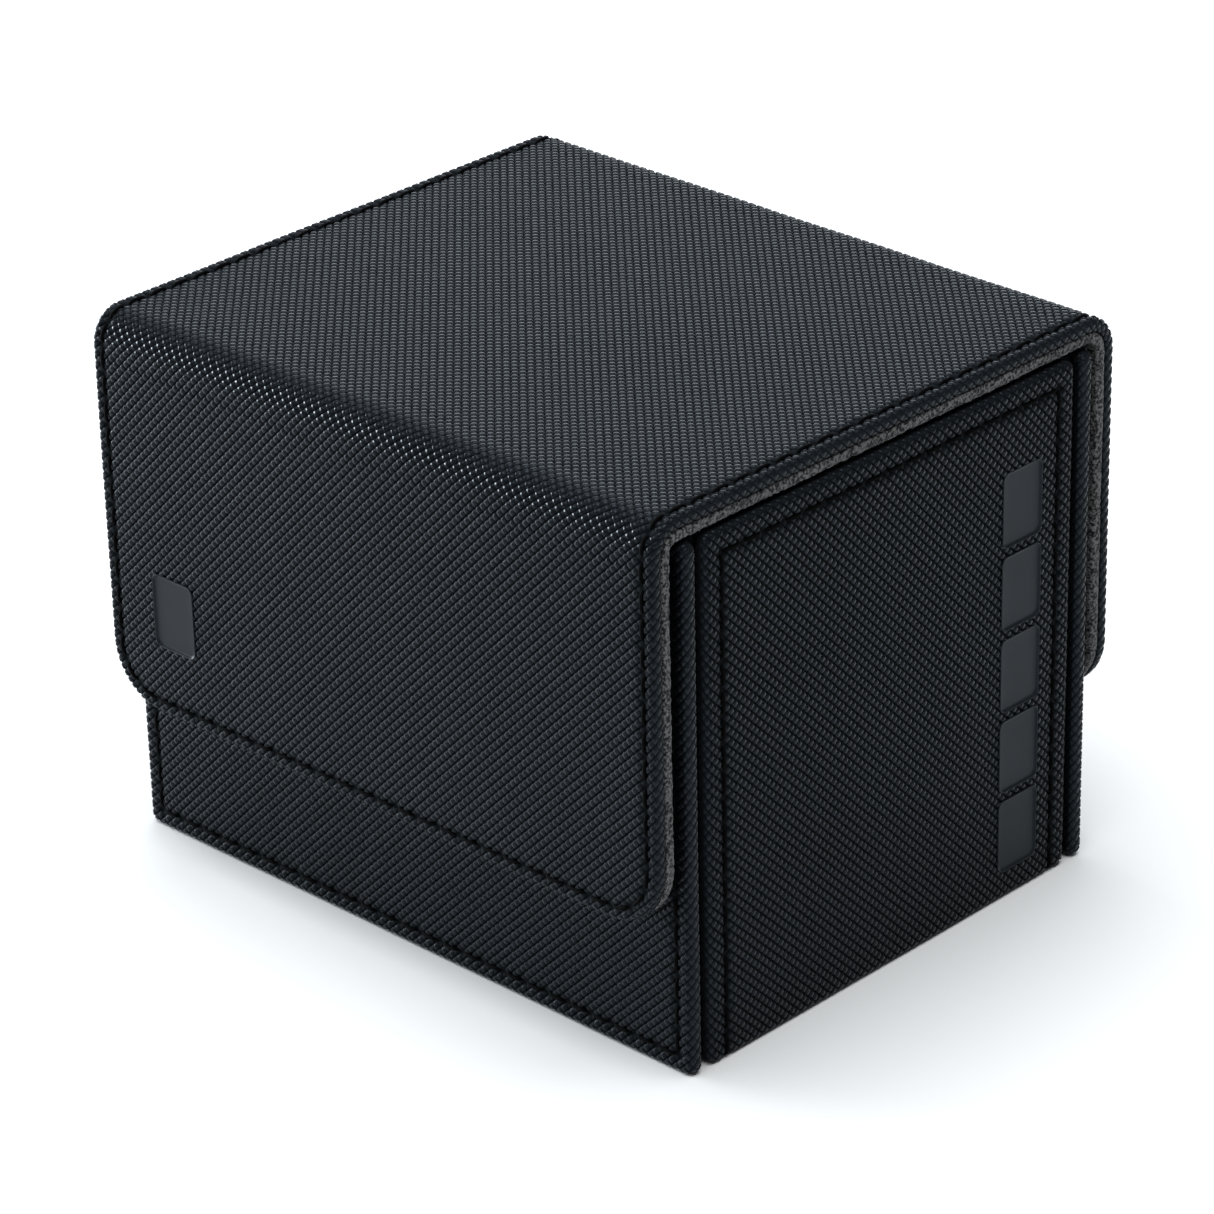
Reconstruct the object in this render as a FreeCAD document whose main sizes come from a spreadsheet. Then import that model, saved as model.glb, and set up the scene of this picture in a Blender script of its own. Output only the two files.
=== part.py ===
import FreeCAD, Part
import math
import os
import Sketcher

# Side-loading card deck box, in millimetres. +Z is up, the front flap faces -Y and the origin is at the middle
# of the bottom. Stiff boards are wrapped in an embossed leather-look skin and lined with microfibre. The cover is
# one strip: a back flap fixed to the back panel, a top panel and a front flap, joined by two soft creases.

SIZES = {
    "body_width": 106.6,        # across the front and back panels, along X
    "body_depth": 81.6,         # front panel face to back panel face, along Y
    "body_height": 77.6,        # table to the top edge of the panels
    "panel_thick": 2.6,         # wrapped board of one body panel
    "skin_thick": 0.6,          # skin on any face or edge
    "panel_lining": 1.0,        # microfibre on the inside of the panels
    "lining_drop": 0.6,         # how far the wall linings stop below the panel tops
    "panel_roll": 0.8,          # rounding of the wrapped panel edges
    "cover_width": 105.4,
    "cover_depth": 92.2,        # front flap face to back flap face
    "cover_top": 82.0,
    "cover_shell": 2.0,         # wrapped board of the cover
    "cover_lining": 1.8,        # padded microfibre of the cover
    "flap_bottom": 23.0,        # height of both flaps' lower edges
    "flap_corner": 9.0,         # rounding of the flaps' lower corners
    "front_bend": 5.0,          # outer radius of the cover where it turns down in front
    "rear_bend": 5.5,           # outer radius where it turns down behind
    "crease_margin": 1.6,       # flat stretch of crease beside each bend
    "mark_depth": 0.25,         # smooth pressed marks in the skin
    "mark_width": 8.0,
    "mark_height": 11.0,
    "flap_mark_x": -39.0,       # middle of the flap's two marks
    "flap_mark_z": 39.5,
    "side_mark_y": 26.0,        # middle of the column of marks on the right side
    "side_mark_low": 10.0,      # middle of the lowest of them
    "side_mark_step": 12.5,
    "stitch_pitch": 4.0,
    "stitch_length": 2.9,
    "thread_width": 0.5,
    "thread_rise": 0.25,        # how far the thread stands on the skin
    "cover_seam": 2.0,          # seam to cover edge
    "side_seam": 3.3,           # seam to side panel edge
    "front_seam": 2.6,          # seam to front or back panel edge
    "magnet_diameter": 12.0,
    "magnet_thick": 1.2,
    "magnet_spread": 60.0,      # between the two magnets' centres
    "magnet_height": 34.0,
    "bond_inset": 8.0,          # glued pad to back flap edge
    "bond_drop": 3.0,           # glued pad below the bend behind
}
SIDE_MARKS = 5

doc = FreeCAD.newDocument("card_deck_box")
sheet = doc.addObject("Spreadsheet::Sheet", "Sizes")
for row, (alias, value) in enumerate(SIZES.items(), start=1):
    sheet.set("A%d" % row, alias)
    sheet.set("B%d" % row, str(value))
    sheet.setAlias("B%d" % row, alias)
doc.recompute()

nodes = []

# Expressions over the sheet's aliases that several pieces share.
BODY_X = "( body_width / 2 )"
BODY_Y = "( body_depth / 2 )"
COVER_X = "( cover_width / 2 )"
COVER_Y = "( cover_depth / 2 )"
SIDE_Y = "( body_depth / 2 - panel_thick )"
INNER_X = "( body_width / 2 - panel_thick )"
INNER_Y = "( body_depth / 2 - panel_thick - panel_lining )"
LINED_X = "( body_width / 2 - panel_thick - panel_lining )"
COVER_THICK = "( cover_shell + cover_lining )"
LID_FRONT = "( 0 - cover_depth / 2 + front_bend + crease_margin )"
LID_REAR = "( cover_depth / 2 - rear_bend - crease_margin )"
FRONT_FLAP_TOP = "( cover_top - front_bend - crease_margin )"
BACK_FLAP_TOP = "( cover_top - rear_bend - crease_margin )"


def bound(text):
    """The expression with each alias written out as a cell of the sheet."""
    return " ".join("Sizes." + word if word in SIZES else word for word in text.split())


def size(text):
    """The number that an expression comes to."""
    return float(sheet.evalExpression(bound(text)))


def keep(thing, label):
    """Name a finished piece and list it for export."""
    thing.Label = label
    nodes.append(thing)
    return thing


def box(label, low, high):
    """A Part::Box between two corners given as expressions."""
    solid = doc.addObject("Part::Box", label)
    for axis, side, start, stop in zip("xyz", ("Length", "Width", "Height"), low, high):
        solid.setExpression(side, bound("( %s ) - ( %s )" % (stop, start)))
        solid.setExpression("Placement.Base." + axis, bound(start))
    return solid


def attached_sketch(body, name, role, offset):
    """A sketch on one of the body's origin planes, moved along the plane's normal."""
    sketch = body.newObject("Sketcher::SketchObject", name)
    plane = [feature for feature in body.Origin.OriginFeatures if feature.Role == role][0]
    sketch.AttachmentSupport = [(plane, "")]
    sketch.MapMode = "FlatFace"
    sketch.setExpression("AttachmentOffset.Base.z", bound(offset))
    return sketch


def draw_rectangle(sketch, left, right, low, high):
    """A rectangle whose sides are at expressions measured from the sketch's origin."""
    x0, x1, y0, y1 = (size(text) for text in (left, right, low, high))
    points = [FreeCAD.Vector(x, y, 0) for x, y in ((x0, y0), (x1, y0), (x1, y1), (x0, y1))]
    for k in range(4):
        sketch.addGeometry(Part.LineSegment(points[k], points[(k + 1) % 4]), False)
    for k in range(4):
        sketch.addConstraint(Sketcher.Constraint("Coincident", k, 2, (k + 1) % 4, 1))
        sketch.addConstraint(Sketcher.Constraint("Vertical" if k % 2 else "Horizontal", k))
    sides = (("DistanceX", 0, x0, left), ("DistanceX", 2, x1, right),
             ("DistanceY", 0, y0, low), ("DistanceY", 2, y1, high))
    for kind, corner, value, expression in sides:
        if abs(value) < 1e-9:
            axis = -2 if kind == "DistanceX" else -1
            sketch.addConstraint(Sketcher.Constraint("PointOnObject", corner, 1, axis))
        else:
            index = sketch.addConstraint(Sketcher.Constraint(kind, -1, 1, corner, 1, value))
            sketch.setExpression("Constraints[%d]" % index, bound(expression))


def extrude(kind, body, sketch, length, reverse):
    """A Pad or a Pocket of one sketch; a Pocket that removes nothing is an error."""
    before = 0.0 if kind == "Pad" else body.Shape.Volume
    feature = body.newObject("PartDesign::" + kind, sketch.Label + "_" + kind.lower())
    feature.Profile = sketch
    feature.setExpression("Length", bound(length))
    feature.Reversed = reverse
    doc.recompute()
    if kind == "Pocket" and body.Shape.Volume > before - 1e-6:
        raise RuntimeError(sketch.Label + " cuts nothing")


def round_edges(body, name, edges, radius):
    """A Fillet of the given edges of the body's present shape."""
    tip = body.Tip
    names = []
    for number, edge in enumerate(tip.Shape.Edges, start=1):
        if any(edge.isSame(chosen) for chosen in edges):
            names.append("Edge%d" % number)
    feature = body.newObject("PartDesign::Fillet", name)
    feature.Base = (tip, names)
    feature.setExpression("Radius", bound(radius))
    doc.recompute()


def flat_face(body, axis, place):
    """The body's largest face that lies in the plane axis = place."""
    found = []
    for face in body.Tip.Shape.Faces:
        limits = face.BoundBox
        ends = getattr(limits, axis + "Min"), getattr(limits, axis + "Max")
        if max(abs(end - place) for end in ends) < 1e-5:
            found.append(face)
    return max(found, key=lambda face: face.Area)


def lower_corners(body, axis, low, left, right):
    """The edges along one axis at the two lower corners of a flap, cut-outs included."""
    chosen = []
    for edge in body.Tip.Shape.Edges:
        limits = edge.BoundBox
        if getattr(limits, axis + "Length") < 0.1 or limits.ZLength > 1e-5 or limits.XLength > 1e-5:
            continue
        at_side = min(abs(limits.XMin - left), abs(limits.XMin - right)) < 1e-5
        if at_side and abs(limits.ZMin - low) < 1e-5:
            chosen.append(edge)
    return chosen


# For each way a panel can face: the origin plane its sketches lie on, +1 if it faces along that plane's normal
# or -1 if against it, the frame axis across the panel, and +1 or -1 for the way it faces along that axis.
FACINGS = {
    "front": ("XZ_Plane", 1, "Y", -1),
    "back": ("XZ_Plane", -1, "Y", 1),
    "right": ("YZ_Plane", 1, "X", 1),
    "left": ("YZ_Plane", -1, "X", -1),
    "top": ("XY_Plane", 1, "Z", 1),
    "bottom": ("XY_Plane", -1, "Z", -1),
}


def slab(label, facing, face, thick, sides, corner=None):
    """A flat plate inwards from the face; sides are left, right, low and high, corner rounds the lower two."""
    role, sign, axis = FACINGS[facing][:3]
    body = doc.addObject("PartDesign::Body", label)
    outline = attached_sketch(body, label + "_outline", role, face if sign > 0 else "0 - " + face)
    draw_rectangle(outline, *sides)
    extrude("Pad", body, outline, thick, sign > 0)
    if corner:
        edges = lower_corners(body, axis, size(sides[2]), size(sides[0]), size(sides[1]))
        round_edges(body, label + "_corners", edges, corner)
    return body


def skin(label, facing, face, thick, sides, rims="lrbt", corner=None, marks=()):
    """A wrapped skin: a plate hollowed for its board, with a rim on the listed sides and a rolled outer edge."""
    role, sign, axis, outward = FACINGS[facing]
    body = slab(label, facing, face, thick, sides)
    back_plane = "( %s - %s )" % (face, thick)
    hollow = attached_sketch(body, label + "_hollow", role, back_plane if sign > 0 else "0 - " + back_plane)
    inside = []
    for side, place, inwards in zip("lrbt", sides, "+-+-"):
        inside.append("( %s %s skin_thick )" % (place, inwards) if side in rims else place)
    draw_rectangle(hollow, *inside)
    extrude("Pocket", body, hollow, thick + " - skin_thick", sign > 0)
    if corner:
        edges = lower_corners(body, axis, size(inside[2]), size(inside[0]), size(inside[1]))
        round_edges(body, label + "_hollow_corners", edges, corner + " - skin_thick")
        edges = lower_corners(body, axis, size(sides[2]), size(sides[0]), size(sides[1]))
        round_edges(body, label + "_corners", edges, corner)
    outer = flat_face(body, axis, outward * size(face))
    open_ends = [size(place) for side, place in zip("bt", sides[2:]) if side not in rims]
    up = "Y" if axis == "Z" else "Z"
    rolled = []
    for edge in outer.OuterWire.Edges:
        level = getattr(edge.BoundBox, up + "Min")
        flat = getattr(edge.BoundBox, up + "Length") < 1e-5
        if not (flat and any(abs(level - end) < 1e-5 for end in open_ends)):
            rolled.append(edge)
    round_edges(body, label + "_roll", rolled, "panel_roll")
    for number, (across, height) in enumerate(marks, start=1):
        mark = attached_sketch(body, "%s_mark_%d" % (label, number), role, face if sign > 0 else "0 - " + face)
        draw_rectangle(mark, across + " - mark_width / 2", across + " + mark_width / 2",
                       height + " - mark_height / 2", height + " + mark_height / 2")
        extrude("Pocket", body, mark, "mark_depth", sign < 0)
    return keep(body, label)


def body_panel(side, facing, face, sides):
    """A body panel's skin and the board that fills it."""
    marks = []
    if side == "right":
        for k in range(SIDE_MARKS):
            marks.append(("side_mark_y", "( side_mark_low + %d * side_mark_step )" % k))
    skin(side + "_panel_skin", facing, face, "panel_thick", sides, marks=marks)
    board_sides = ["( %s %s skin_thick )" % pair for pair in zip(sides, "+-+-")]
    board_face = "( %s - skin_thick )" % face
    return slab(side + "_panel_board", facing, board_face, "panel_thick - skin_thick", board_sides)


def magnets(label, low_y):
    """Two closure discs in one node, lying along Y from low_y."""
    discs = []
    for number, way in enumerate(("-", "+"), start=1):
        disc = doc.addObject("Part::Cylinder", "%s_%d" % (label, number))
        disc.setExpression("Radius", bound("magnet_diameter / 2"))
        disc.setExpression("Height", bound("magnet_thick"))
        disc.Placement.Rotation = FreeCAD.Rotation(FreeCAD.Vector(1, 0, 0), -90)
        disc.setExpression("Placement.Base.x", bound("0 %s magnet_spread / 2" % way))
        disc.setExpression("Placement.Base.y", bound(low_y))
        disc.setExpression("Placement.Base.z", bound("magnet_height"))
        discs.append(disc)
    pair = doc.addObject("Part::MultiFuse", label)
    pair.Shapes = discs
    return keep(pair, label)


def cut(label, base, tool):
    """The base piece with the tool's room taken out of it."""
    piece = doc.addObject("Part::Cut", label)
    piece.Base = base
    piece.Tool = tool
    return keep(piece, label)


def crease(label, rear, outer_radius, thick, centre_y, centre_z, lid_end, flap_top):
    """A soft strip round a bend: a quarter ring along X with a flat stretch at each end."""
    turn = FreeCAD.Vector(0, 1, 0) if rear else FreeCAD.Vector(0, 0, 1)
    then = FreeCAD.Vector(0, 0, 1) if rear else FreeCAD.Vector(0, -1, 0)
    rings = []
    for name, radius in (("_outer", outer_radius), ("_inner", "( %s - %s )" % (outer_radius, thick))):
        ring = doc.addObject("Part::Cylinder", label + name)
        ring.Angle = 90
        ring.setExpression("Radius", bound(radius))
        ring.setExpression("Height", bound("cover_width"))
        ring.Placement.Rotation = FreeCAD.Rotation(turn, then, FreeCAD.Vector(1, 0, 0), "ZXY")
        ring.setExpression("Placement.Base.x", bound("0 - " + COVER_X))
        ring.setExpression("Placement.Base.y", bound(centre_y))
        ring.setExpression("Placement.Base.z", bound(centre_z))
        rings.append(ring)
    bend = doc.addObject("Part::Cut", label + "_bend")
    bend.Base, bend.Tool = rings
    top = "( %s + %s )" % (centre_z, outer_radius)
    reach = ("( %s + %s )" if rear else "( %s - %s )") % (centre_y, outer_radius)
    deep = ("( %s - %s )" if rear else "( %s + %s )") % (reach, thick)
    flat_y = (lid_end, centre_y) if rear else (centre_y, lid_end)
    wall_y = (deep, reach) if rear else (reach, deep)
    flat = box(label + "_flat", ("0 - " + COVER_X, flat_y[0], top + " - " + thick), (COVER_X, flat_y[1], top))
    wall = box(label + "_wall", ("0 - " + COVER_X, wall_y[0], flap_top), (COVER_X, wall_y[1], centre_z))
    strip = doc.addObject("Part::MultiFuse", label)
    strip.Shapes = [bend, flat, wall]
    strip.Refine = True
    return keep(strip, label)


def rows(points):
    """A straight row of the seam between each two neighbouring points."""
    vectors = [FreeCAD.Vector(x, y, 0) for x, y in points]
    return [Part.Wire([Part.LineSegment(p, q).toShape()]) for p, q in zip(vectors, vectors[1:])]


def hoop(sides, inset, bottom_too):
    """The rows of a seam round a square-cornered panel, with or without its bottom row."""
    left, right, low, high = (size(place) for place in sides)
    x0, x1, y1 = left + inset, right - inset, high - inset
    if not bottom_too:
        return rows([(x0, low), (x0, y1), (x1, y1), (x1, low)])
    y0 = low + inset
    return rows([(x0, y0), (x0, y1), (x1, y1), (x1, y0), (x0, y0)])


def flap_seam(sides, inset, corner):
    """A seam down one side of a flap, round both lower corners and up the other side."""
    left, right, low, high = (size(place) for place in sides)
    x0, x1, y0 = left + inset, right - inset, low + inset
    bend = corner - inset
    slant = bend * (1 - math.sqrt(0.5))
    point = FreeCAD.Vector
    lines = [Part.LineSegment(point(x0, high, 0), point(x0, y0 + bend, 0)),
             Part.Arc(point(x0, y0 + bend, 0), point(x0 + slant, y0 + slant, 0), point(x0 + bend, y0, 0)),
             Part.LineSegment(point(x0 + bend, y0, 0), point(x1 - bend, y0, 0)),
             Part.Arc(point(x1 - bend, y0, 0), point(x1 - slant, y0 + slant, 0), point(x1, y0 + bend, 0)),
             Part.LineSegment(point(x1, y0 + bend, 0), point(x1, high, 0))]
    return Part.Wire([line.toShape() for line in lines])


def stitches(label, wires, facing, face):
    """Evenly spaced thread stitches along the wires, standing on the outer face."""
    length, width, rise = size("stitch_length"), size("thread_width"), size("thread_rise")
    solids = []
    for wire in wires:
        count = max(2, round(wire.Length / size("stitch_pitch")))
        marks = wire.discretize(Number=2 * count + 1)
        for k in range(count):
            start, middle, stop = marks[2 * k:2 * k + 3]
            along = stop.sub(start)
            turn = math.degrees(math.atan2(along.y, along.x))
            stitch = Part.makeBox(length, width, rise, FreeCAD.Vector(-length / 2, -width / 2, 0))
            stitch.Placement = FreeCAD.Placement(middle, FreeCAD.Rotation(FreeCAD.Vector(0, 0, 1), turn))
            solids.append(stitch)
    shape = Part.makeCompound(solids)
    axis, outward = FACINGS[facing][2:]
    across = FreeCAD.Vector(1, 0, 0) if axis != "X" else FreeCAD.Vector(0, 1, 0)
    up = FreeCAD.Vector(0, 1, 0) if axis == "Z" else FreeCAD.Vector(0, 0, 1)
    normal = across.cross(up)
    frame = FreeCAD.Rotation(across, up, normal, "ZXY")
    out = FreeCAD.Vector(*[outward if name == axis else 0 for name in "XYZ"])
    lift = size(face) if normal.dot(out) > 0 else size(face) + rise
    thread = doc.addObject("Part::Feature", label)
    thread.Shape = shape
    thread.Placement = FreeCAD.Placement(out.multiply(lift), frame)
    return keep(thread, label)


# Body: front and back panels run the full width, and the sides and the base sit between them.
FULL_WIDTH = ["0 - " + BODY_X, BODY_X, "0", "body_height"]
BETWEEN = ["0 - " + SIDE_Y, SIDE_Y, "0", "body_height"]
FLOOR = ["0 - " + INNER_X, INNER_X, "0 - " + SIDE_Y, SIDE_Y]
LINED_TOP = "( body_height - lining_drop )"
FLOOR_TOP = "( panel_thick + panel_lining )"

front_board = body_panel("front", "front", BODY_Y, FULL_WIDTH)
keep(body_panel("back", "back", BODY_Y, FULL_WIDTH), "back_panel_board")
keep(body_panel("left", "left", BODY_X, BETWEEN), "left_panel_board")
keep(body_panel("right", "right", BODY_X, BETWEEN), "right_panel_board")
keep(body_panel("base", "bottom", "0", FLOOR), "base_panel_board")

front_magnets = magnets("front_panel_magnets", "0 - " + BODY_Y + " + skin_thick")
front_board.Label = "front_board_blank"
cut("front_panel_board", front_board, front_magnets)

keep(box("base_lining", ("0 - " + INNER_X, "0 - " + SIDE_Y, "panel_thick"), (INNER_X, SIDE_Y, FLOOR_TOP)),
     "base_lining")
WALLS_Y = (("front_lining", "0 - " + SIDE_Y, "0 - " + INNER_Y), ("back_lining", INNER_Y, SIDE_Y))
for name, low_y, high_y in WALLS_Y:
    keep(box(name, ("0 - " + INNER_X, low_y, FLOOR_TOP), (INNER_X, high_y, LINED_TOP)), name)
WALLS_X = (("left_lining", "0 - " + INNER_X, "0 - " + LINED_X), ("right_lining", LINED_X, INNER_X))
for name, low_x, high_x in WALLS_X:
    keep(box(name, (low_x, "0 - " + INNER_Y, FLOOR_TOP), (high_x, INNER_Y, LINED_TOP)), name)

# Cover: the lid and two flaps, each a skin around a board with a padded lining behind.
LID_SIDES = ["0 - " + COVER_X, COVER_X, LID_FRONT, LID_REAR]
FRONT_SIDES = ["0 - " + COVER_X, COVER_X, "flap_bottom", FRONT_FLAP_TOP]
BACK_SIDES = ["0 - " + COVER_X, COVER_X, "flap_bottom", BACK_FLAP_TOP]
FLAP_MARKS = [("( flap_mark_x )", "( flap_mark_z )")]


def cover_panel(name, facing, face, sides, rims, corner, marks=()):
    """One stiff part of the cover: skin, board and lining. Returns the board."""
    skin(name + "_skin", facing, face, "cover_shell", sides, rims, corner, marks)
    board_sides = []
    for side, place, inwards in zip("lrbt", sides, "+-+-"):
        board_sides.append("( %s %s skin_thick )" % (place, inwards) if side in rims else place)
    board_corner = corner + " - skin_thick" if corner else None
    board = slab(name + "_board", facing, "( %s - skin_thick )" % face, "cover_shell - skin_thick",
                 board_sides, board_corner)
    lining = slab(name + "_lining", facing, "( %s - cover_shell )" % face, "cover_lining", sides, corner)
    keep(lining, name + "_lining")
    return board


keep(cover_panel("lid", "top", "cover_top", LID_SIDES, "lr", None), "lid_board")
flap_board = cover_panel("front_flap", "front", COVER_Y, FRONT_SIDES, "lrb", "flap_corner", FLAP_MARKS)
keep(cover_panel("back_flap", "back", COVER_Y, BACK_SIDES, "lrb", "flap_corner"), "back_flap_board")
flap_magnets = magnets("front_flap_magnets", "0 - " + COVER_Y + " + cover_shell - magnet_thick")
flap_board.Label = "front_flap_board_blank"
cut("front_flap_board", flap_board, flap_magnets)

FRONT_CENTRE = ("( 0 - cover_depth / 2 + front_bend )", "( cover_top - front_bend )")
REAR_CENTRE = ("( cover_depth / 2 - rear_bend )", "( cover_top - rear_bend )")
crease("front_crease_skin", False, "front_bend", "cover_shell", *FRONT_CENTRE, LID_FRONT, FRONT_FLAP_TOP)
crease("rear_crease_skin", True, "rear_bend", "cover_shell", *REAR_CENTRE, LID_REAR, BACK_FLAP_TOP)

# The crease linings follow the same bends, inside the skins.
FRONT_INSIDE = "( front_bend - cover_shell )"
REAR_INSIDE = "( rear_bend - cover_shell )"
crease("front_crease_lining", False, FRONT_INSIDE, "cover_lining", *FRONT_CENTRE, LID_FRONT, FRONT_FLAP_TOP)
crease("rear_crease_lining", True, REAR_INSIDE, "cover_lining", *REAR_CENTRE, LID_REAR, BACK_FLAP_TOP)

# The glued pad that holds the back flap's lining to the back panel.
keep(box("back_flap_bond", ("0 - " + COVER_X + " + bond_inset", BODY_Y, "flap_bottom + bond_inset"),
         (COVER_X + " - bond_inset", COVER_Y + " - " + COVER_THICK, BACK_FLAP_TOP + " - bond_drop")),
     "back_flap_bond")

# Seams.
stitches("front_panel_stitching", hoop(FULL_WIDTH, size("front_seam"), True), "front", BODY_Y)
stitches("back_panel_stitching", hoop(FULL_WIDTH, size("front_seam"), True), "back", BODY_Y)
stitches("left_panel_stitching", hoop(BETWEEN, size("side_seam"), False), "left", BODY_X)
stitches("right_panel_stitching", hoop(BETWEEN, size("side_seam"), False), "right", BODY_X)
seam_x = size(COVER_X) - size("cover_seam")
lid_ends = size(LID_FRONT), size(LID_REAR)
lid_rows = rows([(-seam_x, y) for y in lid_ends]) + rows([(seam_x, y) for y in lid_ends])
stitches("lid_stitching", lid_rows, "top", "cover_top")
corner_radius = size("flap_corner")
stitches("front_flap_stitching", [flap_seam(FRONT_SIDES, size("cover_seam"), corner_radius)], "front", COVER_Y)
stitches("back_flap_stitching", [flap_seam(BACK_SIDES, size("cover_seam"), corner_radius)], "back", COVER_Y)

doc.recompute()
for thing in doc.Objects:
    if "Invalid" in thing.State or "Error" in thing.State:
        raise RuntimeError(thing.Label + " failed")
labels = [node.Label for node in nodes]
if len(set(labels)) != len(labels):
    raise RuntimeError("two nodes share a label")
for node in nodes:
    if node.Shape.isNull() or not node.Shape.isValid():
        raise RuntimeError(node.Label + " has no valid shape")

os.makedirs("parts", exist_ok=True)
for node in nodes:
    node.Shape.exportStep("parts/%s.step" % node.Label)
print(len(nodes), "nodes written")
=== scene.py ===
import math

import bmesh
import bpy
import numpy as np
from mathutils import Matrix, Vector


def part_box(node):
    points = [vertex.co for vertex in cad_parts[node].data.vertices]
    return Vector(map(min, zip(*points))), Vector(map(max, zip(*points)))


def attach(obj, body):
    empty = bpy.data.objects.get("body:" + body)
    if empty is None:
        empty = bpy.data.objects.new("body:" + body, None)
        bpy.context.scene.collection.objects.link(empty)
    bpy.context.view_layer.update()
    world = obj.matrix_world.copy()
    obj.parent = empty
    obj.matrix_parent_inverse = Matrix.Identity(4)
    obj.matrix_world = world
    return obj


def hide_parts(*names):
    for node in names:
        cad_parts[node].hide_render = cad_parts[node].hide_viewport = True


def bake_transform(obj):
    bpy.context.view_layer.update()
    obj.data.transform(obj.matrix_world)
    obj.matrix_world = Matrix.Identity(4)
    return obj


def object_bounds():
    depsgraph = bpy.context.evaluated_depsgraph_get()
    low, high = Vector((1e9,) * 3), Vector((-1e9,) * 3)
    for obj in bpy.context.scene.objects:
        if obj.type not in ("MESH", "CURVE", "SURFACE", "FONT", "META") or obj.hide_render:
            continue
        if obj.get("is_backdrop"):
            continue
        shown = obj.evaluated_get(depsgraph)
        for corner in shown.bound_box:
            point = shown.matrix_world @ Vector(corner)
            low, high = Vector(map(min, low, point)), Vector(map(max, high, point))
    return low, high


# A side-loading card deck box. Stiff panels and a wrap-around cover are wrapped in a skin embossed
# with a diagonal lattice of small tiles, sewn along the edges and lined with grey microfibre.
# Lengths are in metres. Heights are measured outwards from a sheet's own surface.

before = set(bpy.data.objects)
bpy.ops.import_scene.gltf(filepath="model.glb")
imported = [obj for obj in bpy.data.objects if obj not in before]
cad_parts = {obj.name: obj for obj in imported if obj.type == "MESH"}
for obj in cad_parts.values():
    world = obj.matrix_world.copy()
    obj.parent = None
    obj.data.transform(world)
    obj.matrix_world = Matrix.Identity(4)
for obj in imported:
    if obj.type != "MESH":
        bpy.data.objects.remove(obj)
cad_box = [list(corner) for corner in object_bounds()]
rng = np.random.default_rng(7)
MM = 0.001

# ---------------------------------------------------------------- sizes, from the CAD frame

low = {name: np.array(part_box(name)[0]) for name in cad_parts}
high = {name: np.array(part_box(name)[1]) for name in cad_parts}

BODY_X = high["front_panel_skin"][0]
BODY_Y = high["back_panel_skin"][1]
BODY_TOP = high["front_panel_skin"][2]
PANEL = high["front_panel_skin"][1] - low["front_panel_skin"][1]
SIDE_Y = high["right_panel_skin"][1]
BASE_X = high["base_panel_skin"][0]

COVER_X = high["lid_skin"][0]
COVER_FRONT = low["front_crease_skin"][1]
COVER_BACK = high["back_flap_skin"][1]
COVER_TOP = high["lid_skin"][2]
FLAP_LOW = low["front_flap_skin"][2]
SHELL = high["front_flap_skin"][1] - low["front_flap_skin"][1]
COVER_DEPTH = high["front_flap_lining"][1] - low["front_flap_skin"][1]

# The CAD's bends start this far before the arc and end this far behind it.
CREASE_MARGIN = 1.6 * MM
FRONT_BEND = low["lid_skin"][1] - COVER_FRONT - CREASE_MARGIN
REAR_BEND = COVER_BACK - high["lid_skin"][1] - CREASE_MARGIN
FLAP_CORNER = 9.0 * MM

# How far in from the edge each seam runs.
COVER_SEAM = 2.0 * MM
SIDE_SEAM = 3.3 * MM
FRONT_SEAM = 2.6 * MM
# Stitches: their pitch and length, how many stations each has, and how much its length varies.
STITCH_PITCH = 4.0 * MM
STITCH_LENGTH = 3.1 * MM
STITCH_STATIONS = 9
STITCH_SPREAD = 0.03
# Thread: its radius, sides and taper, the height of a stitch's middle, how far its ends sink below
# that, and how much the height varies.
THREAD_RADIUS = 0.27 * MM
THREAD_SIDES = 8
THREAD_TAPER = 0.3
THREAD_HEIGHT = -0.20 * MM
THREAD_SINK = 0.42 * MM
THREAD_WANDER = 0.015 * MM
# The furrow that a seam pulls into the skin, and the needle holes in it: depth and width. The
# furrow's painted shade is the share of the tiles' gloss and colour that it takes away.
SEAM_DIP, SEAM_WIDTH, SEAM_SHADE = 0.26 * MM, 0.50 * MM, 0.6
HOLE_DIP, HOLE_WIDTH = 0.45 * MM, 0.72 * MM

# The side panels' skins keep this far from the front and back panels, and the base's from all four.
GAP, BASE_GAP = 1.35 * MM, 0.3 * MM
# How deep in that gap the joining strip of skin lies, and how far it reaches under the side panel.
FOLD_DEPTH, FOLD_TUCK = 2.2 * MM, 0.5 * MM
PANEL_CORNER = 1.2 * MM
BOARD_INSET = 1.3 * MM
BOARD_BEVEL = 0.2 * MM

# The plain marks pressed into the skin: one on the front flap and five down the right side.
MARK_HALF = np.array([4.0, 5.5]) * MM
MARK_CORNER = 1.1 * MM
# The walls and floor of a mark from the rim inwards, in mm: share of the outline kept, growth, height.
MARK_PROFILE = ((1.0, 0.13, -0.12), (1.0, 0.10, 0.03), (1.0, 0.03, 0.04), (1.0, -0.06, -0.02),
                (1.0, -0.16, -0.16), (1.0, -0.26, -0.25),
                (0.9, 0.0, -0.27), (0.5, 0.0, -0.27), (0.0, 0.0, -0.27))
FLAP_MARK = np.array([-39.0 * MM, 39.5 * MM - FLAP_LOW])
SIDE_MARKS = [np.array([26.0 * MM, (10.0 + 12.5 * k) * MM]) for k in range(5)]

# The embossed lattice: square tiles on the diagonal, with grooves between them.
TILE = 1.08 * MM
# Where the mesh has its lines, as shares of a tile. The first line across a short groove is its
# bottom, and the first two across a long groove are the sides of its bottom.
ACROSS_SHORT = (0.0, 0.25, 0.75)
ACROSS_LONG = (0.0, 0.07, 0.29, 0.78)
BOTTOM_LINES = 2
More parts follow.
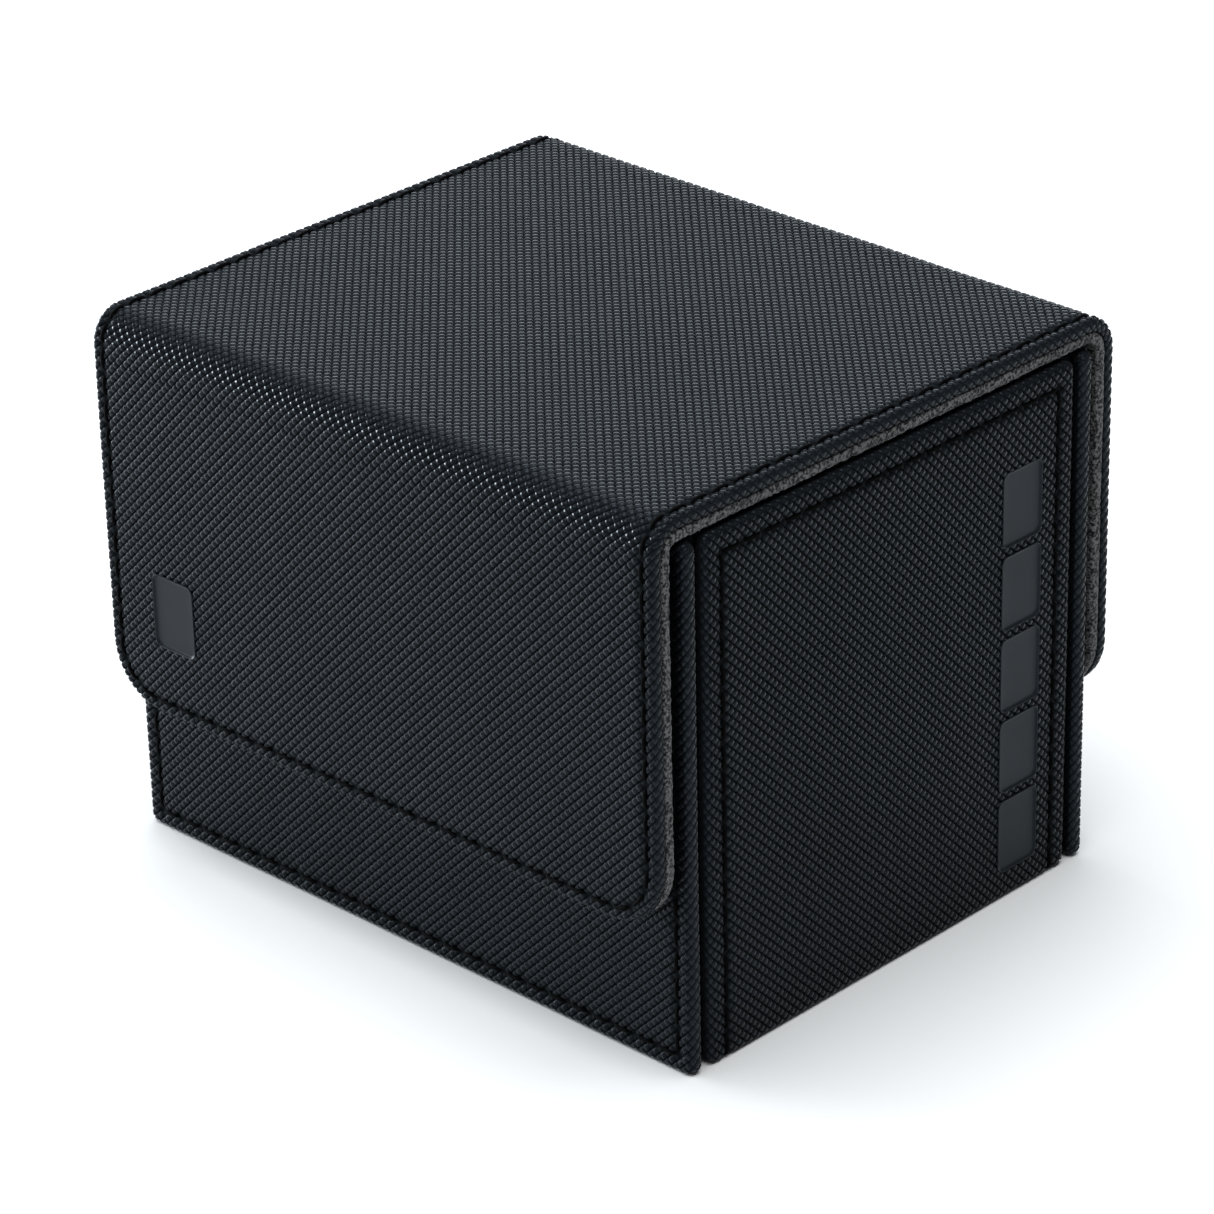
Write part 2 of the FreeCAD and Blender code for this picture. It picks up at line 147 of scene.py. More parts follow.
# The grooves' depths, how much they vary, and the deepest that anything is pressed.
GROOVE_LONG = 0.31 * MM
GROOVE_SHORT = 0.285 * MM
GROOVE_SPREAD = 0.12
DEEPEST = 0.54 * MM
# The short grooves' relief, on a scale from 0 in a long groove to 1 on top of a tile, which sets
# their gloss and their painted shade.
NOTCH_SHADE_RELIEF = 0.25
# The slow waves of a whole sheet.
WAVE_LENGTH, WAVE_HEIGHT = 38 * MM, 0.05 * MM
# The relief fades to this share over a panel's edge, where the skin is stretched.
RIM_SHARE = 0.40
# The sides of a side panel, deep in the gaps, turn to the grooves' painted-shade black within
# this distance of the face.
SIDE_SHADE_REACH = 0.9 * MM

# The microfibre: the size of its mesh, and the depth, unevenness and slow waves of its nap.
NAP_CELL = 0.42 * MM
WALL_NAP_CELL = 0.8 * MM
NAP_HEIGHT = 0.24 * MM
NAP_SPREAD = 0.22
NAP_BIAS = 1.5
NAP_WAVE_LENGTH, NAP_WAVE_HEIGHT = 22 * MM, 0.06 * MM

# The smallest radius that a wrapped outline's corner may have, and a length beyond everything here.
SHARPEST_CORNER = 0.35 * MM
FAR = 1.0


# ---------------------------------------------------------------- flat sheets that wrap over an edge

def outline_distance(points, rect, corner):
    """How far each point is outside a rounded rectangle (x0, x1, y0, y1), and the way outwards."""
    x0, x1, y0, y1 = rect
    centre = np.array([x0 + x1, y0 + y1]) / 2
    half = np.array([x1 - x0, y1 - y0]) / 2
    offset = points - centre
    side = np.where(offset < 0, -1.0, 1.0)
    q = np.abs(offset) - (half - corner)
    beyond = np.maximum(q, 0)
    length = np.hypot(beyond[:, 0], beyond[:, 1])
    round_part = length > 1e-12
    straight = np.stack([q[:, 0] >= q[:, 1], q[:, 0] < q[:, 1]], axis=1).astype(float)
    rounded = beyond / np.maximum(length, 1e-12)[:, None]
    direction = np.where(round_part[:, None], rounded, straight) * side
    return length + np.minimum(q.max(axis=1), 0) - corner, direction


class Edge:
    """How a sheet turns down over its panel's edge: a roll, a flat rim, a second roll, a tucked end."""

    def __init__(self, roll, thick, tuck_roll, tuck):
        self.roll, self.tuck_roll = roll, tuck_roll
        self.rim = thick - roll - tuck_roll
        self.first = roll * math.pi / 2
        self.second = self.first + self.rim
        self.third = self.second + tuck_roll * math.pi / 2
        self.reach = self.third + tuck

    def follow(self, e):
        """Travel out and down, and the normal's parts out and up, at distance e along the turn."""
        turn = np.clip(e / self.roll, 0, math.pi / 2)
        tuck_turn = np.clip((e - self.second) / self.tuck_roll, 0, math.pi / 2)
        flat = np.clip(e - self.first, 0, self.rim)
        inwards = np.maximum(e - self.third, 0)
        out = self.roll * np.sin(turn) - self.tuck_roll * (1 - np.cos(tuck_turn)) - inwards
        down = self.roll * (1 - np.cos(turn)) + flat + self.tuck_roll * np.sin(tuck_turn)
        heading = turn + tuck_turn
        return out, down, np.sin(heading), np.cos(heading)


def tile_grid(rect, reach, turned):
    """The diagonal lattice over a rectangle grown by reach.

    Gives its points and quads, which points lie in the long and in the short grooves, and the middle
    of each quad's tile. The long grooves run up to the right, or up to the left on a turned sheet.
    """
    x0, x1, y0, y1 = rect[0] - reach, rect[1] + reach, rect[2] - reach, rect[3] + reach
    corners = np.array([(x, y) for x in (x0, x1) for y in (y0, y1)])
    a = (corners[:, 0] + corners[:, 1]) / math.sqrt(2) / TILE
    b = (corners[:, 1] - corners[:, 0]) / math.sqrt(2) / TILE
    a0, a1 = math.floor(a.min()) - 1, math.ceil(a.max()) + 1
    b0, b1 = math.floor(b.min()) - 1, math.ceil(b.max()) + 1
    breaks_a, breaks_b = (ACROSS_LONG, ACROSS_SHORT) if turned else (ACROSS_SHORT, ACROSS_LONG)
    along = (np.arange(a0, a1)[:, None] + np.array(breaks_a)).ravel() * TILE
    across = (np.arange(b0, b1)[:, None] + np.array(breaks_b)).ravel() * TILE
    grid_a, grid_b = np.meshgrid(along, across, indexing="ij")
    points = np.stack([grid_a - grid_b, grid_a + grid_b], axis=-1).reshape(-1, 2) / math.sqrt(2)
    place_a, place_b = np.meshgrid(np.arange(len(along)), np.arange(len(across)), indexing="ij")
    line_a, line_b = (place_a % len(breaks_a)).ravel(), (place_b % len(breaks_b)).ravel()
    if turned:
        line_a, line_b = line_b, line_a
    long_groove, short_groove = line_b < BOTTOM_LINES, line_a == 0
    centre_a = (place_a[:-1, :-1] // len(breaks_a) + a0 + 0.5) * TILE
    centre_b = (place_b[:-1, :-1] // len(breaks_b) + b0 + 0.5) * TILE
    centres = np.stack([centre_a - centre_b, centre_a + centre_b], axis=-1).reshape(-1, 2) / math.sqrt(2)
    return points, grid_quads(len(along), len(across)), long_groove, short_groove, centres


def grid_quads(rows, columns):
    """The quads of a grid whose points are numbered row by row."""
    index = np.arange(rows * columns).reshape(rows, columns)
    quads = np.stack([index[:-1, :-1], index[1:, :-1], index[1:, 1:], index[:-1, 1:]], axis=-1)
    return quads.reshape(-1, 4)


def square_grid(rect, reach, cell):
    """Points and quads of an upright grid over a rectangle grown by reach, with each quad's middle."""
    x = np.arange(rect[0] - reach - cell, rect[1] + reach + 2 * cell, cell)
    y = np.arange(rect[2] - reach - cell, rect[3] + reach + 2 * cell, cell)
    grid_x, grid_y = np.meshgrid(x, y, indexing="ij")
    points = np.stack([grid_x, grid_y], axis=-1).reshape(-1, 2)
    quads = grid_quads(len(x), len(y))
    return points, quads, points[quads].mean(axis=1)


def wrap(points, quads, rect, corner, edge, lift, place):
    """Turns a flat grid down over the outline rect.

    lift raises each point, and place maps x, y and height to space. Gives the points in space, which
    quads to keep, and how worn each point is, from 0 to 1.
    """
    inner = (rect[0] + edge.roll, rect[1] - edge.roll, rect[2] + edge.roll, rect[3] - edge.roll)
    distance, direction = outline_distance(points, inner, max(corner - edge.roll, SHARPEST_CORNER))
    e = np.clip(distance, 0, edge.reach)
    lift = lift * (1 - (1 - RIM_SHARE) * np.clip(e / edge.first, 0, 1))
    nearest = points - direction * np.maximum(distance, 0)[:, None]
    out, down, normal_out, normal_up = edge.follow(e)
    flat = nearest + direction * (out + lift * normal_out)[:, None]
    space = place(flat[:, 0], flat[:, 1], lift * normal_up - down)
    wear = np.clip(e / edge.first, 0, 1) * np.clip((edge.third - e) / edge.roll, 0, 1)
    keep = (distance < edge.reach - 1e-9)[quads].any(axis=1)
    return space, keep, wear


def press_holes(points, quads, keep, holes):
    """Pushes points out of the pressed marks' outlines and drops the quads that lie inside them."""
    points = points.copy()
    for centre in holes:
        (x0, y0), (x1, y1) = centre - MARK_HALF, centre + MARK_HALF
        rect = (x0, x1, y0, y1)
        distance, direction = outline_distance(points, rect, MARK_CORNER)
        inside = distance < 1e-9
        keep &= ~inside[quads].all(axis=1)
        points[inside] -= direction[inside] * distance[inside][:, None]
    return points, keep


def make_mesh(name, space, quads, values=None):
    """A smooth object from points and quads. Unused points are dropped; values are kept by name."""
    used = np.unique(quads)
    renumber = np.zeros(len(space), dtype=np.int64)
    renumber[used] = np.arange(len(used))
    quads = renumber[quads]
    mesh = bpy.data.meshes.new(name)
    mesh.vertices.add(len(used))
    mesh.vertices.foreach_set("co", space[used].astype(np.float32).ravel())
    mesh.loops.add(quads.size)
    mesh.loops.foreach_set("vertex_index", quads.astype(np.int32).ravel())
    mesh.polygons.add(len(quads))
    mesh.polygons.foreach_set("loop_start", np.arange(0, quads.size, 4, dtype=np.int32))
    mesh.polygons.foreach_set("use_smooth", np.ones(len(quads), dtype=bool))
    mesh.update(calc_edges=True)
    for key, value in (values or {}).items():
        stored = mesh.attributes.new(key, "FLOAT", "POINT")
        stored.data.foreach_set("value", value[used].astype(np.float32))
    mesh.validate()
    piece = bpy.data.objects.new(name, mesh)
    bpy.context.scene.collection.objects.link(piece)
    return piece


# ---------------------------------------------------------------- where each surface lies

FRONT_RISE = COVER_TOP - FRONT_BEND - FLAP_LOW
FRONT_ARC_END = FRONT_RISE + FRONT_BEND * math.pi / 2
LID_RUN = (COVER_BACK - REAR_BEND) - (COVER_FRONT + FRONT_BEND)
REAR_ARC_START = FRONT_ARC_END + LID_RUN
REAR_ARC_END = REAR_ARC_START + REAR_BEND * math.pi / 2
COVER_LENGTH = REAR_ARC_END + COVER_TOP - REAR_BEND - FLAP_LOW
FRONT_CENTRE = np.array([COVER_FRONT + FRONT_BEND, COVER_TOP - FRONT_BEND])
REAR_CENTRE = np.array([COVER_BACK - REAR_BEND, COVER_TOP - REAR_BEND])


def cover_place(x, s, n):
    """A point of the flattened cover in space.

    s runs from the front flap's lower edge over the top to the back flap's lower edge.
    """
    front_turn = np.clip((s - FRONT_RISE) / FRONT_BEND, 0, math.pi / 2)
    rear_turn = np.clip((s - REAR_ARC_START) / REAR_BEND, 0, math.pi / 2)
    before = s < (FRONT_ARC_END + REAR_ARC_START) / 2
    y_front = FRONT_CENTRE[0] - (FRONT_BEND + n) * np.cos(front_turn) + np.maximum(s - FRONT_ARC_END, 0)
    z_front = FRONT_CENTRE[1] + (FRONT_BEND + n) * np.sin(front_turn) + np.minimum(s - FRONT_RISE, 0)
    y_rear = REAR_CENTRE[0] + (REAR_BEND + n) * np.sin(rear_turn) + np.minimum(s - REAR_ARC_START, 0)
    z_rear = REAR_CENTRE[1] + (REAR_BEND + n) * np.cos(rear_turn) - np.maximum(s - REAR_ARC_END, 0)
    return np.stack([x, np.where(before, y_front, y_rear), np.where(before, z_front, z_rear)], axis=-1)


def lining_place(x, s, n):
    """The same strip seen from inside the cover: n now rises towards the cards."""
    return cover_place(-x, s, -COVER_DEPTH - n)


def panel_place(origin, u, v, normal):
    """A mapping for a flat panel whose x runs along u and whose y runs along v."""
    origin, u, v, normal = (np.array(a, dtype=float) for a in (origin, u, v, normal))

    def place(x, y, n):
        return origin + x[:, None] * u + y[:, None] * v + n[:, None] * normal
    return place


# ---------------------------------------------------------------- relief

def smooth_noise(points, wavelength, count=24):
    """Gentle waviness between about -1 and 1, from a few seeded waves."""
    angles = rng.uniform(0, math.pi, count)
    phases = rng.uniform(0, 2 * math.pi, count)
    stretches = rng.uniform(0.7, 1.6, count)
    total = np.zeros(len(points))
    for angle, phase, stretch in zip(angles, phases, stretches):
        k = 2 * math.pi / (wavelength * stretch)
        along = points[:, 0] * math.cos(angle) + points[:, 1] * math.sin(angle)
        total += np.sin(k * along + phase)
    return total / math.sqrt(count)


def measured(path):
    """The distance travelled at each point of a path, and how many stitches the path takes."""
    travelled = np.concatenate([[0], np.cumsum(np.hypot(*np.diff(path, axis=0).T))])
    return travelled, max(2, round(travelled[-1] / STITCH_PITCH))


def needle_holes(paths):
    """Where the thread enters the skin: between each two stitches, and at both ends of each path."""
    found = []
    for path in paths:
        travelled, count = measured(path)
        at = np.linspace(0, travelled[-1], count + 1)
        x, y = np.interp(at, travelled, path[:, 0]), np.interp(at, travelled, path[:, 1])
        found.append(np.stack([x, y], axis=-1))
    return np.concatenate(found)


def path_distance(points, path):
    """Distance from each point to a path of straight steps, exact only near the path."""
    distance = np.full(len(points), FAR)
    for start, stop in zip(path, path[1:]):
        span = stop - start
        length = np.hypot(*span)
        if length < 1e-9:
            continue
        lowest, highest = np.minimum(start, stop) - 2 * MM, np.maximum(start, stop) + 2 * MM
        near = ((points > lowest) & (points < highest)).all(axis=1)
        offset = points[near] - start
        share = np.clip(offset @ span / length ** 2, 0, 1)
        distance[near] = np.minimum(distance[near], np.hypot(*(offset - share[:, None] * span).T))
    return distance


def embossed(rect, corner, edge, place, seams=(), holes=(), turned=False, shaded_sides=False):
    """One embossed sheet: its points, quads, which quads to keep, values, and the tiles' middles.

    seams are the paths it is sewn along, and holes are the middles of its pressed marks.
    """
    points, quads, long_groove, short_groove, centres = tile_grid(rect, edge.reach, turned)
    keep = np.ones(len(quads), dtype=bool)
    points, keep = press_holes(points, quads, keep, holes)
    lift = np.zeros(len(points))
    lift[short_groove] = -GROOVE_SHORT
    lift[long_groove] = -GROOVE_LONG
    lift *= 1 + GROOVE_SPREAD * rng.standard_normal(len(points)).clip(-2, 2)
    lift += WAVE_HEIGHT * (smooth_noise(points, WAVE_LENGTH).clip(-1, 1) - 1)
    # The relief value runs from 0 in a long groove to 1 on a tile's top: it sets the gloss, and the
    # shade painted into the grooves.
    relief_shade = np.where(long_groove, 0.0, np.where(short_groove, NOTCH_SHADE_RELIEF, 1.0))
    for path in seams:
        distance = path_distance(points, path)
        valley = np.exp(-(distance / SEAM_WIDTH) ** 2)
        lift -= SEAM_DIP * valley
        # Painted shade in the seam's furrow.
        relief_shade *= 1 - SEAM_SHADE * valley
    if seams:
        distance = np.full(len(points), FAR)
        for hole in needle_holes(seams):
            near = (np.abs(points - hole) < 4 * HOLE_WIDTH).all(axis=1)
            distance[near] = np.minimum(distance[near], np.hypot(*(points[near] - hole).T))
        pull = np.exp(-(distance / HOLE_WIDTH) ** 2)
        lift -= HOLE_DIP * pull
        # The needle holes take the grooves' painted shade.
        relief_shade *= 1 - pull
    lift = np.maximum(lift, -DEEPEST)
    # Painted shade: a side panel's sides, deep in the gaps, fade to the grooves' black colour.
    if shaded_sides:
        beyond = np.maximum(rect[0] - points[:, 0], points[:, 0] - rect[1])
        relief_shade *= 1 - np.clip(beyond / SIDE_SHADE_REACH, 0, 1)
    space, kept, wear = wrap(points, quads, rect, corner, edge, lift, place)
    return space, quads, keep & kept, {"relief_shade": relief_shade, "wear": wear}, centres


def mark_floor(centre, place):
    """The points and quads of one pressed mark's smooth walls and floor."""
    corner_points = []
    for quarter, (sx, sy) in enumerate(((1, 1), (-1, 1), (-1, -1), (1, -1))):
        for turn in np.linspace(0, math.pi / 2, 7):
            angle = quarter * math.pi / 2 + turn
            base = np.array([sx, sy]) * (MARK_HALF - MARK_CORNER)
            corner_points.append(base + MARK_CORNER * np.array([math.cos(angle), math.sin(angle)]))
    ring = np.array(corner_points)
    outward = ring / np.linalg.norm(ring, axis=1)[:, None]
    rows = []
    for share, grow, height in MARK_PROFILE:
        flat = ring * share + outward * grow * MM + centre
        rows.append(place(flat[:, 0], flat[:, 1], np.full(len(flat), height * MM)))
    index = np.arange(len(MARK_PROFILE) * len(ring)).reshape(-1, len(ring))
    after = np.roll(index, -1, axis=1)
    quads = np.stack([index[:-1], after[:-1], after[1:], index[1:]], axis=-1).reshape(-1, 4)
    return np.concatenate(rows), quads


def with_folds(space, quads, values, rect, place):
    """Adds painted-shade black strips of skin joining a side panel to front and back, deep in the gaps.
    """
    bottom, top = rect[2] + FOLD_TUCK, rect[3] - FOLD_TUCK
    for x0, x1 in ((rect[1] - FOLD_TUCK, SIDE_Y), (-SIDE_Y, rect[0] + FOLD_TUCK)):
        corners = np.array([(x0, bottom), (x1, bottom), (x1, top), (x0, top)])
        strip = place(corners[:, 0], corners[:, 1], np.full(4, -FOLD_DEPTH))
        quads = np.concatenate([quads, len(space) + np.arange(4)[None]])
        space = np.concatenate([space, strip])
    # The strips' values are 0, so they take the grooves' painted shade and no wear.
    values = {key: np.concatenate([value, np.zeros(len(space) - len(value))])
              for key, value in values.items()}
    return space, quads, values


def napped(rect, corner, edge, place, cell=NAP_CELL):
    """A sheet of microfibre with a slightly uneven nap: the same five things as for embossed."""
    points, quads, centres = square_grid(rect, edge.reach, cell)
    points = points + rng.uniform(-NAP_SPREAD, NAP_SPREAD, points.shape) * cell
    lift = -NAP_HEIGHT * rng.uniform(0, 1, len(points)) ** NAP_BIAS
    lift += NAP_WAVE_HEIGHT * (smooth_noise(points, NAP_WAVE_LENGTH).clip(-1, 1) - 1)
    space, keep, wear = wrap(points, quads, rect, corner, edge, lift, place)
    return space, quads, keep, {"wear": wear}, centres


def slab(name, lowest, highest):
    """A box between two corners, with a small bevel on its edges."""
    shape = bmesh.new()
    bmesh.ops.create_cube(shape, size=1.0)
    for vertex in shape.verts:
        vertex.co = Vector((lowest + highest) / 2 + np.array(vertex.co) * (highest - lowest))
    bmesh.ops.bevel(shape, geom=shape.edges[:], offset=BOARD_BEVEL, segments=2, profile=0.5,
                    affect="EDGES")
    mesh = bpy.data.meshes.new(name)
    shape.to_mesh(mesh)
    shape.free()
    piece = bpy.data.objects.new(name, mesh)
    bpy.context.scene.collection.objects.link(piece)
    return piece


def sew(paths):
    """Centre lines of short stitches along the paths: x, y and height at a few stations of each."""
    found = []
    t = np.linspace(-1, 1, STITCH_STATIONS)
    arch = THREAD_HEIGHT - THREAD_SINK * np.abs(t) ** 5
    for path in paths:
        travelled, count = measured(path)
        pitch = travelled[-1] / count
        for k in range(count):
            reach = STITCH_LENGTH / 2 * (1 + STITCH_SPREAD * rng.standard_normal())
            at = (k + 0.5) * pitch + t * reach
            height = arch + THREAD_WANDER * rng.standard_normal()
            x, y = np.interp(at, travelled, path[:, 0]), np.interp(at, travelled, path[:, 1])
            found.append((x, y, height))
    return found


def thread(name, stitches, place):
    """Tubes of thread along the stitches, tapered where they sink into the skin."""
    spaces, quads, start = [], [], 0
    for x, y, height in stitches:
        tangent = np.stack([np.gradient(x), np.gradient(y)], axis=-1)
        tangent /= np.hypot(tangent[:, 0], tangent[:, 1])[:, None]
        radius = THREAD_RADIUS * (1 - THREAD_TAPER * np.linspace(-1, 1, len(x)) ** 4)
        rings = []
        for angle in np.linspace(0, 2 * math.pi, THREAD_SIDES, endpoint=False):
            aside, rise = radius * math.cos(angle), radius * math.sin(angle)
            rings.append(place(x - tangent[:, 1] * aside, y + tangent[:, 0] * aside, height + rise))
        spaces.append(np.stack(rings, axis=1).reshape(-1, 3))
        index = start + np.arange(len(x) * THREAD_SIDES).reshape(len(x), THREAD_SIDES)
        after = np.roll(index, -1, axis=1)
        quads.append(np.stack([index[:-1], after[:-1], after[1:], index[1:]], axis=-1).reshape(-1, 4))
        fan = np.array([(0, k, k + 1, k + 2) for k in range(1, THREAD_SIDES - 1, 2)])
        quads.append(index[0][fan[:, [0, 3, 2, 1]]])
        quads.append(index[-1][fan])
        start += index.size
    return make_mesh(name, np.concatenate(spaces), np.concatenate(quads))


def loop_path(rect, corner):
    """A closed rounded rectangle as closely spaced points."""
    x0, x1, y0, y1 = rect
    parts = [np.array([[0.0, y0]])]
    for cx, cy, first in ((x1 - corner, y0 + corner, -90), (x1 - corner, y1 - corner, 0),
                          (x0 + corner, y1 - corner, 90), (x0 + corner, y0 + corner, 180)):
        angles = np.radians(np.linspace(first, first + 90, 33))
        parts.append(np.stack([cx + corner * np.cos(angles), cy + corner * np.sin(angles)], axis=-1))
    parts.append(parts[0])
    return np.concatenate(parts)


def row_paths(rect, inset, bottom_too):
    """The straight rows of a seam round a square-cornered panel."""
    x0, x1, y0, y1 = rect[0] + inset, rect[1] - inset, rect[2], rect[3] - inset
    y0 += inset if bottom_too else 0
    corners = [(x0, y0), (x0, y1), (x1, y1), (x1, y0)] + ([(x0, y0)] if bottom_too else [])
    return [np.array([p, q]) for p, q in zip(corners, corners[1:])]


# ---------------------------------------------------------------- materials

SKIN_SPECULAR = 0.16
GROOVE_ROUGH = 1.0


def new_material(name):
    """A new material with its nodes, links and shader."""
    material = bpy.data.materials.new(name)
    material.use_nodes = True
    nodes, links = material.node_tree.nodes, material.node_tree.links
    return material, nodes, links, nodes["Principled BSDF"]


def noise(nodes, links, scale, detail=3.0):
    """A noise texture at a real scale: scale is in waves per metre."""
    place = nodes.new("ShaderNodeTexCoord")
    texture = nodes.new("ShaderNodeTexNoise")
    texture.inputs["Scale"].default_value = scale
    texture.inputs["Detail"].default_value = detail
    links.new(place.outputs["Object"], texture.inputs["Vector"])
    return texture.outputs["Fac"]


def ramp(nodes, links, factor, stops):
    """A colour ramp; stops are (position, grey or colour)."""
    node = nodes.new("ShaderNodeValToRGB")
    elements = node.color_ramp.elements
    while len(elements) < len(stops):
        elements.new(0.5)
    for element, (position, colour) in zip(elements, stops):
        element.position = position
        element.color = (*((colour,) * 3 if isinstance(colour, float) else colour), 1.0)
    links.new(factor, node.inputs["Fac"])
    return node.outputs["Color"]


def attribute(nodes, name):
    """A value that is stored on a mesh's points."""
    node = nodes.new("ShaderNodeAttribute")
    node.attribute_name = name
    return node.outputs["Fac"]


def mix(nodes, links, kind, factor, first, second):
    """Two colours mixed; the factor and the colours are sockets or plain values."""
    node = nodes.new("ShaderNodeMix")
    node.data_type = "RGBA"
    node.blend_type = kind
    if isinstance(factor, float):
        node.inputs["Factor"].default_value = factor
    else:
        links.new(factor, node.inputs["Factor"])
    for value, socket in ((first, node.inputs["A"]), (second, node.inputs["B"])):
        if isinstance(value, tuple):
            socket.default_value = (*value, 1.0)
        else:
            links.new(value, socket)
    return node.outputs["Result"]


def bump(nodes, links, shader, height, strength, distance):
    """Fine grain on a shader's normal."""
    node = nodes.new("ShaderNodeBump")
    node.inputs["Strength"].default_value = strength
    node.inputs["Distance"].default_value = distance
    links.new(height, node.inputs["Height"])
    links.new(node.outputs["Normal"], shader.inputs["Normal"])


def skin_material(name, groove_shade_and_dark_grain, top, rubbed, rough, embossed_sheet=True):
    """Black leather-look skin; on an embossed sheet, grooves dull with painted shade, edges rubbed
    paler.
    """
    material, nodes, links, shader = new_material(name)
    blotches = noise(nodes, links, 55.0)
    grain = noise(nodes, links, 5200.0, 2.0)
    if embossed_sheet:
        # Painted shade: the grooves take the darker colour where the relief value falls towards 0.
        colour = mix(nodes, links, "MIX", attribute(nodes, "relief_shade"), groove_shade_and_dark_grain, top)
        wear = nodes.new("ShaderNodeMath")
        wear.operation = "MULTIPLY"
        links.new(attribute(nodes, "wear"), wear.inputs[0])
        links.new(noise(nodes, links, 420.0, 4.0), wear.inputs[1])
        colour = mix(nodes, links, "MIX", wear.outputs[0], colour, rubbed)
    else:
        colour = mix(nodes, links, "MIX", grain, groove_shade_and_dark_grain, top)
    shade = ramp(nodes, links, blotches, ((0.35, 0.86), (0.65, 1.12)))
    links.new(mix(nodes, links, "MULTIPLY", 1.0, colour, shade), shader.inputs["Base Color"])
    speckle = ramp(nodes, links, grain, ((0.3, rough - 0.05), (0.7, rough + 0.05)))
    if embossed_sheet:
        speckle = mix(nodes, links, "MIX", attribute(nodes, "relief_shade"), (GROOVE_ROUGH,) * 3, speckle)
    links.new(speckle, shader.inputs["Roughness"])
    bump(nodes, links, shader, grain, 0.35, 0.03 * MM)
    shader.inputs["Specular IOR Level"].default_value = SKIN_SPECULAR
    shader.inputs["Specular Tint"].default_value = (0.70, 0.85, 1.0, 1.0)
    return material


def nap_material(name, dark, pale):
    """Grey microfibre: mottled short nap with a soft sheen."""
    material, nodes, links, shader = new_material(name)
    tufts = noise(nodes, links, 2600.0, 5.0)
    clouds = noise(nodes, links, 90.0)
    colour = mix(nodes, links, "MIX", ramp(nodes, links, tufts, ((0.42, 0.0), (0.60, 1.0))), dark, pale)
    shade = ramp(nodes, links, clouds, ((0.35, 0.88), (0.65, 1.1)))
    links.new(mix(nodes, links, "MULTIPLY", 1.0, colour, shade), shader.inputs["Base Color"])
    shader.inputs["Roughness"].default_value = 0.95
    shader.inputs["Specular IOR Level"].default_value = 0.15
    shader.inputs["Sheen Weight"].default_value = 0.15
    shader.inputs["Sheen Roughness"].default_value = 0.45
    shader.inputs["Sheen Tint"].default_value = (0.55, 0.56, 0.58, 1.0)
    bump(nodes, links, shader, tufts, 0.8, 0.12 * MM)
    return material


def thread_material(name):
    """Black bonded thread with a fine grain."""
    material, nodes, links, shader = new_material(name)
    plies = noise(nodes, links, 3800.0, 2.0)
    stops = ((0.3, (0.0007, 0.0007, 0.0009)), (0.7, (0.0022, 0.0022, 0.0026)))
    links.new(ramp(nodes, links, plies, stops), shader.inputs["Base Color"])
    shader.inputs["Roughness"].default_value = 0.85
    shader.inputs["Specular IOR Level"].default_value = 0.05
    bump(nodes, links, shader, plies, 0.5, 0.05 * MM)
    return material


def plain_material(name, dark, pale, scale, rough, metallic=0.0):
    """A hidden part's material: pressed board, plated steel or glue."""
    material, nodes, links, shader = new_material(name)
    fibres = noise(nodes, links, scale, 5.0)
    links.new(ramp(nodes, links, fibres, ((0.3, dark), (0.7, pale))), shader.inputs["Base Color"])
    links.new(ramp(nodes, links, fibres, ((0.3, rough - 0.06), (0.7, rough + 0.06))),
              shader.inputs["Roughness"])
    shader.inputs["Metallic"].default_value = metallic
    bump(nodes, links, shader, fibres, 0.3, 0.05 * MM)
    return material


# The embossed skin's first colour is the grooves' painted shade; the pressed skin's first colour is its
# darker grain.
skin = skin_material("embossed_skin", (0.0006, 0.0008, 0.0011), (0.0055, 0.0068, 0.0088),
                     (0.0115, 0.0133, 0.0160), 0.24)
pressed = skin_material("pressed_skin", (0.0100, 0.0118, 0.0142), (0.0130, 0.0150, 0.0175),
                        (0.02, 0.02, 0.02), 0.42, embossed_sheet=False)
nap = nap_material("grey_microfibre", (0.008, 0.008, 0.009), (0.150, 0.150, 0.149))
black_thread = thread_material("black_thread")
board = plain_material("grey_board", (0.035, 0.034, 0.032), (0.065, 0.062, 0.058), 900.0, 0.85)
steel = plain_material("plated_steel", (0.52, 0.52, 0.51), (0.66, 0.66, 0.65), 1500.0, 0.3, metallic=1.0)
glue = plain_material("cured_glue", (0.02, 0.02, 0.02), (0.04, 0.04, 0.038), 700.0, 0.5)

# The CAD's own nodes, by the last part of their names. The magnets, the glued pad and the cover's
# boards are not replaced below, so they keep these materials.
NODE_MATERIALS = {"board": board, "magnets": steel, "bond": glue, "stitching": black_thread,
                  "lining": nap, "skin": skin}
for name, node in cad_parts.items():
    node.data.materials.clear()
    node.data.materials.append(NODE_MATERIALS[name.rsplit("_", 1)[1]])


def embossed_piece(name, space, quads, values, floors=()):
    """An embossed sheet, with the floors of its pressed marks joined on as a second material."""
    piece = make_mesh(name, space, quads, values)
    piece.data.materials.append(skin)
    if floors:
        parts = [make_mesh(name + "_floor", *floor) for floor in floors]
        for part in parts:
            shape = bmesh.new()
            shape.from_mesh(part.data)
            bmesh.ops.remove_doubles(shape, verts=shape.verts, dist=1e-7)
            shape.to_mesh(part.data)
            shape.free()
            part.data.materials.append(pressed)
            part.data.attributes.new("relief_shade", "FLOAT", "POINT")
            part.data.attributes.new("wear", "FLOAT", "POINT")
        with bpy.context.temp_override(active_object=piece, selected_editable_objects=[piece] + parts):
            bpy.ops.object.join()
    return piece


def finish_piece(piece, nodes, body):
    """Hides the CAD nodes a piece replaces and parents it to its body; a bend's piece is only baked."""
    if nodes:
        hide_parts(*nodes)
    if isinstance(body, str):
        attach(piece, body)
    else:
        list(body)
        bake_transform(piece)


# ---------------------------------------------------------------- cover

